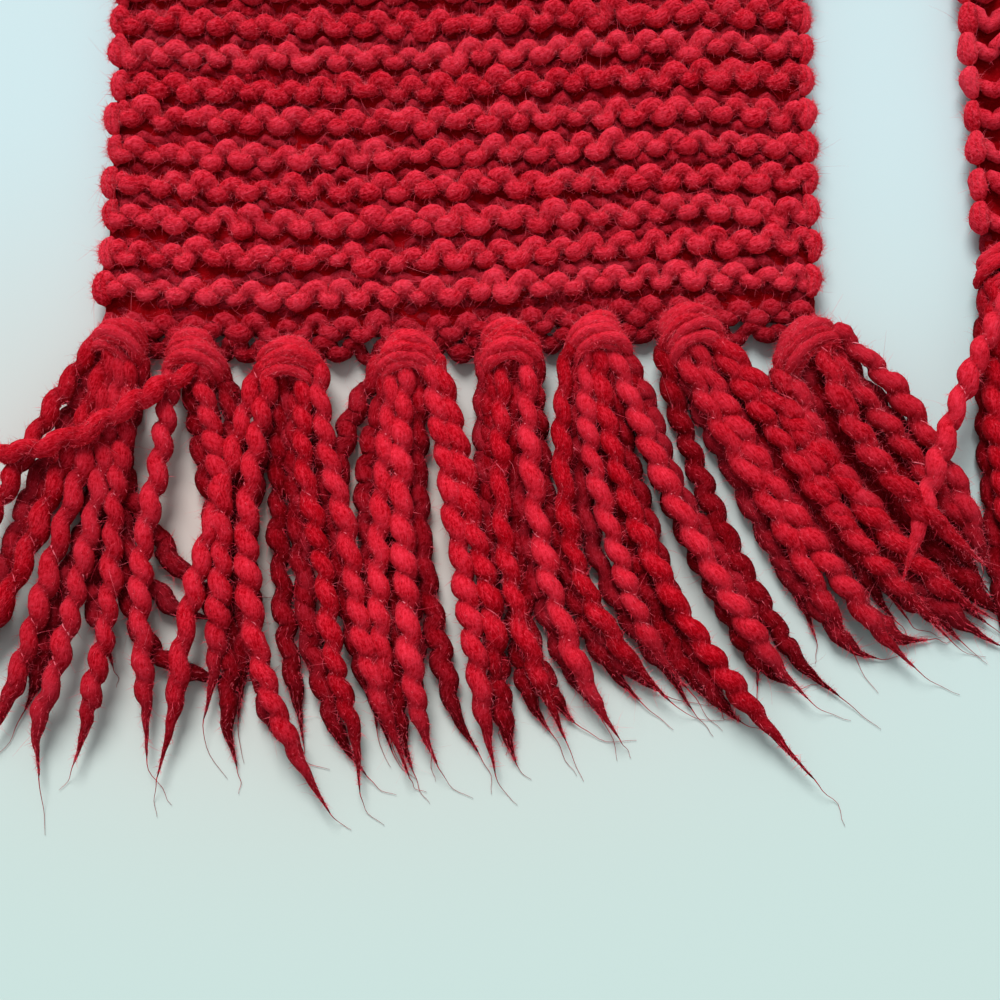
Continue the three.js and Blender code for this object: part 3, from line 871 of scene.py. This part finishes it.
# The middle lines of a tassel's strands, before they are twisted
def strandLines(tassel, knotPlace, corner, count):
    strands = tassel["strands"]
    m = len(strands)
    loose = fringe["loose"]
    across, down = knotAxes(tassel)
    order = np.argsort([s[1] for s in strands])
    share = np.empty(m)
    share[order] = np.linspace(-1, 1, m)
    level = np.array([s[0] for s in strands])
    isLoose = level == loose["layer"]
    share = np.where(isLoose, loose["rootShare"], share)
    root = knotPlace + across * (share * fringe["rootSpread"] * tassel["size"])[:, None]
    root = (root + down * (fringe["rootDepth"] + loose["rootDepth"] * isLoose)[:, None])[:, None]
    middle = (corner + np.array([s[1:3] for s in strands], float))[:, None]
    tip = (corner + np.array([s[3:5] for s in strands], float))[:, None]
    bend = 2 * middle - (root + tip) / 2
    t = np.linspace(0, 1, count)[None, :, None]
    flat = root * (1 - t) ** 2 + 2 * bend * t * (1 - t) + tip * t * t
    heading = unit(np.gradient(flat, axis=1))
    sideways = np.stack([-heading[..., 1], heading[..., 0]], axis=-1)
    waves, start = rng.uniform(*sway["waves"], (m, 1, 1)), rng.uniform(*anyTurn, (m, 1, 1))
    snake = offBy(sway["spread"], m, 1, 1) * np.sin(np.pi * t * waves + start)
    hook = (offBy(sway["hookSpread"], m, 1, 1) * ramp(t, sway["hookStart"], sway["hookLength"])
            * np.cos(np.pi * (t - sway["hookStart"]) * sway["hookWaves"]))
    flat = flat + sideways * (snake * np.sin(np.pi * t) + hook)
    lying = np.array(fringe["lying"])[level][:, None]
    s = t[..., 0]
    z = lerp(fringe["rootHeight"] + fringe["layerRise"] * level[:, None], lying, smooth(s / fringe["settled"]))
    z = z - ramp(s, *fringe["drop"]) * np.where(level > 0, fringe["upperDrop"], fringe["lowerDrop"])[:, None]
    return np.concatenate([flat, z[..., None]], axis=-1)


def strandThickness(m, count):
    s = np.linspace(0, 1, count)[None]
    body = lerp(thickness["rootShare"], 1, smooth(s / thickness["full"]))
    taper = 1 - thickness["taperDepth"] * ramp(s, *thickness["taper"]) ** thickness["taperShape"]
    slubPlace = s * rng.uniform(*thickness["slubWaves"], (m, 1)) + rng.random((m, 1))
    slub = 1 + thickness["slub"] * np.sin(fullTurn * slubPlace)
    return fringe["radius"] * rng.uniform(*thickness["spread"], (m, 1)) * body * taper * slub


# Tubes that coil around their middle lines, each with a groove darkened by painted shade and, near the camera, a fine
# thread in it
def addStrands(store, threads, hairs, tassel, knotPlace, corner, detail):
    count = detail["points"]
    lines = strandLines(tassel, knotPlace, corner, count)
    m = len(lines)
    thick = strandThickness(m, count)
    tangents, side, other = carriedFrames(lines)
    along = lengthAlong(lines)
    twistPitch = fringe["twistPitch"] * rng.uniform(*twist["pitchSpread"], (m, 1))
    turn = rng.uniform(*anyTurn, (m, 1)) - fullTurn * along / twistPitch
    turn = turn + twist["uneven"] * np.sin(along / rng.uniform(*twist["unevenLength"], (m, 1)))
    plain = ramp(np.linspace(0, 1, count)[None], *twist["plain"])
    swing = fringe["helix"] * (1 - twist["plainHelix"] * plain) * thick / fringe["radius"]
    direction = side * np.cos(turn)[..., None] + other * np.sin(turn)[..., None]
    points = lines + direction * swing[..., None]
    points[..., 2] = np.maximum(points[..., 2], thick + twist["lowest"])
    tones = rng.random(m)
    fade = (1 - twist["plainGroove"] * plain)[..., None]
    groove = {"direction": -direction, "depth": fringe["grooveDepth"] * fade, "dim": fringe["grooveDim"] * fade}
    made = addTubes(store, points, roundEnds(thick.copy()), detail["sides"], tones, twist=twist["grain"],
                    lumps=twist["lumps"], groove=groove, shadeRange=fringe["depthRange"])
    step = detail["threadStep"]
    if step:
        path = lines - direction * (thick * thread["depth"])[..., None]
        path[..., 2] = np.maximum(path[..., 2], thread["lowest"])
        radii = np.full((m, count), thread["radius"])[:, ::step]
        addTubes(threads, path[:, ::step], radii, thread["sides"], tones, twist=0, shadeRange=thread["shadeRange"])
    fuzzOn(hairs, made, points, detail["fuzz"])
    return lines


wisp = {
    "length": (5.0, 15.0),
    "curl": (0.18, 0.26),  # mean and spread
    "wave": 0.8, "waves": 1.3, "lowest": 0.4, "sinking": 1.5, "radii": (0.2, 0.05), "sides": 3,
    # shadeRange: heights of the wisps' painted shade
    "headingPoints": 6, "shadeRange": (-3.0, 1.0),
}


# The thin ends that the fibres draw out into
def addWisps(store, lines, count):
    m = len(lines)
    end = lines[:, -1:]
    heading = unit(lines[:, -1] - lines[:, -wisp["headingPoints"]])
    heading[:, 2] = 0
    length = rng.uniform(*wisp["length"], (m, 1, 1))
    t = np.linspace(0, 1, count)[None, :, None]
    sideways = np.stack([-heading[:, 1], heading[:, 0], 0 * heading[:, 0]], axis=-1)[:, None]
    curl = rng.normal(*wisp["curl"], (m, 1, 1)) * length
    wave = offBy(wisp["wave"], m, 1, 1) * np.sin(fullTurn * t * wisp["waves"])
    path = end + heading[:, None] * length * t + sideways * (curl * t * t + wave * t)
    path[..., 2] = lerp(end[..., 2], wisp["lowest"], smooth(t[..., 0] * wisp["sinking"]))
    radii = lerp(*wisp["radii"], t[..., 0] ** 0.5) * np.ones((m, 1))
    addTubes(store, path, radii, wisp["sides"], rng.random(m), twist=0, shadeRange=wisp["shadeRange"])


knot = {
    "halfWidth": 6.1,
    "widths": (0.86, 1.06, 1.14, 1.12, 1.0),  # of the arches, from the hem down
    "crowns": (10.4, 12.2, 12.6, 12.2, 11.0),
    "reach": 1.72,  # angle that an arch spans to each side
    "step": 2.05, "start": -0.3, "sag": 4.0, "sagMiddle": 0.55, "foot": 3.0, "footTurn": 0.84,
    "lowest": 2.2, "radius": 1.65, "acrossSpread": 0.7, "downSpread": 0.4, "radiusSpread": 0.13,
    "ripple": 0.06, "ripples": 4, "tones": (0.6, 1.3), "grain": 0.2, "lumps": 0.06,
    # shadeRange: heights of the knots' painted shade
    "shadeRange": (-1.5, 9.0),
}


# The knot: doubled yarns wrapped over the strands in a bun of close arches
def addKnot(store, hairs, tassel, place, detail):
    wraps = len(knot["widths"])
    across, down = knotAxes(tassel)
    j = np.arange(wraps)[:, None]
    angle = np.linspace(-1, 1, detail["knotPoints"])[None] * knot["reach"]
    halfWidth = knot["halfWidth"] * np.array(knot["widths"])[:, None]
    a = tassel["size"] * halfWidth * np.sin(angle) + offBy(knot["acrossSpread"], wraps, 1)
    b = knot["step"] * j + knot["start"] - knot["sag"] * (np.cos(angle) - knot["sagMiddle"])
    b = b + offBy(knot["downSpread"], wraps, 1)
    rise = (np.array(knot["crowns"])[:, None] - knot["foot"]) * np.cos(angle * knot["footTurn"])
    z = np.maximum(knot["foot"] + rise, knot["lowest"])
    x = place[0] + across[0] * a + down[0] * b
    y = place[1] + across[1] * a + down[1] * b
    points = np.stack([x, y, z], axis=-1)
    radii = knot["radius"] * (1 + offBy(knot["radiusSpread"], wraps, 1))
    radii = radii * (1 + knot["ripple"] * np.sin(angle * knot["ripples"] + j))
    tones = rng.uniform(*knot["tones"], wraps)
    made = addTubes(store, points, roundEnds(radii), detail["sides"], tones, twist=knot["grain"],
                    lumps=knot["lumps"], shadeRange=knot["shadeRange"])
    fuzzOn(hairs, made, points, detail["fuzz"] // fewerHairs)


def addTassels(prefix, first, tassels, corner, threads, hairs, detail):
    pieces = []
    for index, tassel in enumerate(tassels, first):
        hemPlace = float(hemAt(tassel["across"])) - knit["seam"] - tassel["low"]
        place = corner + np.array([tassel["across"], hemPlace])
        store = emptyStore()
        lines = addStrands(store, threads, hairs, tassel, place, corner, detail)
        addKnot(store, hairs, tassel, place, detail)
        addWisps(store, lines, detail["wispPoints"])
        # Painted shade: each tassel is darkened as a whole by its lit share
        store["shade"] = [shade * tassel["lit"] for shade in store["shade"]]
        node = prefix + "_" + str(index)
        name = "".join(w.capitalize() if i else w for i, w in enumerate(node.split("_")))
        pieces.append(makePiece(name, store, fringeWool, [node]))
    return pieces


fineTassel = {"points": 132, "sides": 9, "threadStep": 2, "knotPoints": 24, "wispPoints": 9}
tasselDetail = {
    "first": {**fineTassel, "fuzz": 1980},
    "seen": {**fineTassel, "fuzz": 1100},  # the second end's one tassel in the photo
    "far": {"points": 72, "sides": 6, "threadStep": 0, "knotPoints": 12, "wispPoints": 5, "fuzz": 20},
}
fringeFuzz = emptyStore()
firstThreads = emptyStore()
firstTassels = addTassels("tassel_first", 1, firstFringe, np.zeros(2), firstThreads, fringeFuzz,
                          tasselDetail["first"])
secondThreads = emptyStore()
secondCorner = np.array([secondLeft, knit["secondSetback"]])
secondTassels = addTassels("tassel_second", 1, secondFringe[:1], secondCorner, secondThreads, fringeFuzz,
                           tasselDetail["seen"])
secondTassels += addTassels("tassel_second", 2, secondFringe[1:], secondCorner, secondThreads, farFuzz,
                            tasselDetail["far"])
makePiece("firstThreads", firstThreads, fibreWool)
makePiece("secondThreads", secondThreads, fibreWool)
makePiece("knitFibres", knitFuzz, fuzzWool)
makePiece("fringeFibres", fringeFuzz, fuzzWool)
makePiece("farFibres", farFuzz, fuzzWool)
print("fringe made")

# The floor's nodes, with the titles of Blender's own sockets
floorLook = {
    "fade": {"From Min": -0.44, "From Max": -0.24},  # in metres along y
    "plain": {"A": (0.60, 0.755, 0.715, 1), "B": (0.635, 0.805, 0.83, 1)},
    # A warm pink oval by the first fringe is painted light, the red wool's bounce on the floor
    "oval": {"Location": (-0.165, -0.352, 0), "Scale": (0.24, 0.14, 1)},
    "paintedBounce": {"B": (0.76, 0.57, 0.50, 1)},
    "finish": {"Roughness": 0.7, "Specular IOR Level": 0.2},
}


# Floor, light and camera
def makeFloor():
    material = bpy.data.materials.new("paleFloor")
    material.use_nodes = True
    tree = material.node_tree
    link = tree.links.new
    shader = tree.nodes["Principled BSDF"]
    setValues(shader, floorLook["finish"])
    place = addNode(tree, "TexCoord")
    split = addNode(tree, "SeparateXYZ")
    fade = addNode(tree, "MapRange", floorLook["fade"])
    plain = addNode(tree, "Mix", floorLook["plain"], data_type="RGBA")
    # Painted bounce light: the floor turns warm pink in an oval by the first fringe
    bounceNearness = addNode(tree, "TexGradient", gradient_type="QUADRATIC_SPHERE")
    oval = addNode(tree, "Mapping", floorLook["oval"], vector_type="TEXTURE")
    paintedBounce = addNode(tree, "Mix", floorLook["paintedBounce"], data_type="RGBA")
    link(place.outputs["Object"], split.inputs[0])
    link(split.outputs["Y"], fade.inputs["Value"])
    link(fade.outputs["Result"], plain.inputs["Factor"])
    link(place.outputs["Object"], oval.inputs["Vector"])
    link(oval.outputs["Vector"], bounceNearness.inputs["Vector"])
    link(bounceNearness.outputs["Fac"], paintedBounce.inputs["Factor"])
    link(plain.outputs["Result"], paintedBounce.inputs["A"])
    link(paintedBounce.outputs["Result"], shader.inputs["Base Color"])
    mesh = bpy.data.meshes.new("floor")
    half = 6.0
    mesh.from_pydata([(-half, -half, 0), (half, -half, 0), (half, half, 0), (-half, half, 0)], [], [(0, 1, 2, 3)])
    mesh.materials.append(material)
    floor = bpy.data.objects.new("floor", mesh)
    bpy.context.collection.objects.link(floor)


makeFloor()

light = {"sky": 0.42, "skyTint": (0.93, 0.97, 1.0, 1), "sun": 2.7, "sunAngle": 30.0, "sunTilt": 44.0, "sunFrom": 14.0}
world = bpy.data.worlds.new("softRoom")
bpy.context.scene.world = world
world.use_nodes = True
setValues(world.node_tree.nodes["Background"], {"Color": light["skyTint"], "Strength": light["sky"]})
lamp = bpy.data.lights.new("window", "SUN")
lamp.energy = light["sun"]
lamp.angle = math.radians(light["sunAngle"])
lampObject = bpy.data.objects.new("window", lamp)
lampObject.rotation_euler = (-math.radians(light["sunTilt"]), 0, math.radians(light["sunFrom"]))
bpy.context.collection.objects.link(lampObject)

# The camera stands above the first hem, tipped a little from straight down
view = {"elevation": 78.0, "distance": 430.0, "angle": 35.04, "target": (110.9, -46.6, 0.0), "clipStart": 0.01}
camera = bpy.data.cameras.new("camera")
camera.angle = math.radians(view["angle"])
camera.clip_start = view["clipStart"]
cameraObject = bpy.data.objects.new("camera", camera)
bpy.context.collection.objects.link(cameraObject)
tip = math.radians(view["elevation"])
target = Vector((np.array(view["target"]) + shift) * mm)
back = Vector((0, -math.cos(tip), math.sin(tip)))
cameraObject.location = target + back * view["distance"] * mm
cameraObject.rotation_mode = "QUATERNION"
cameraObject.rotation_quaternion = (-back).to_track_quat("-Z", "Y")
bpy.context.scene.camera = cameraObject
bpy.context.scene.view_settings.view_transform = "Standard"
print("stage set")
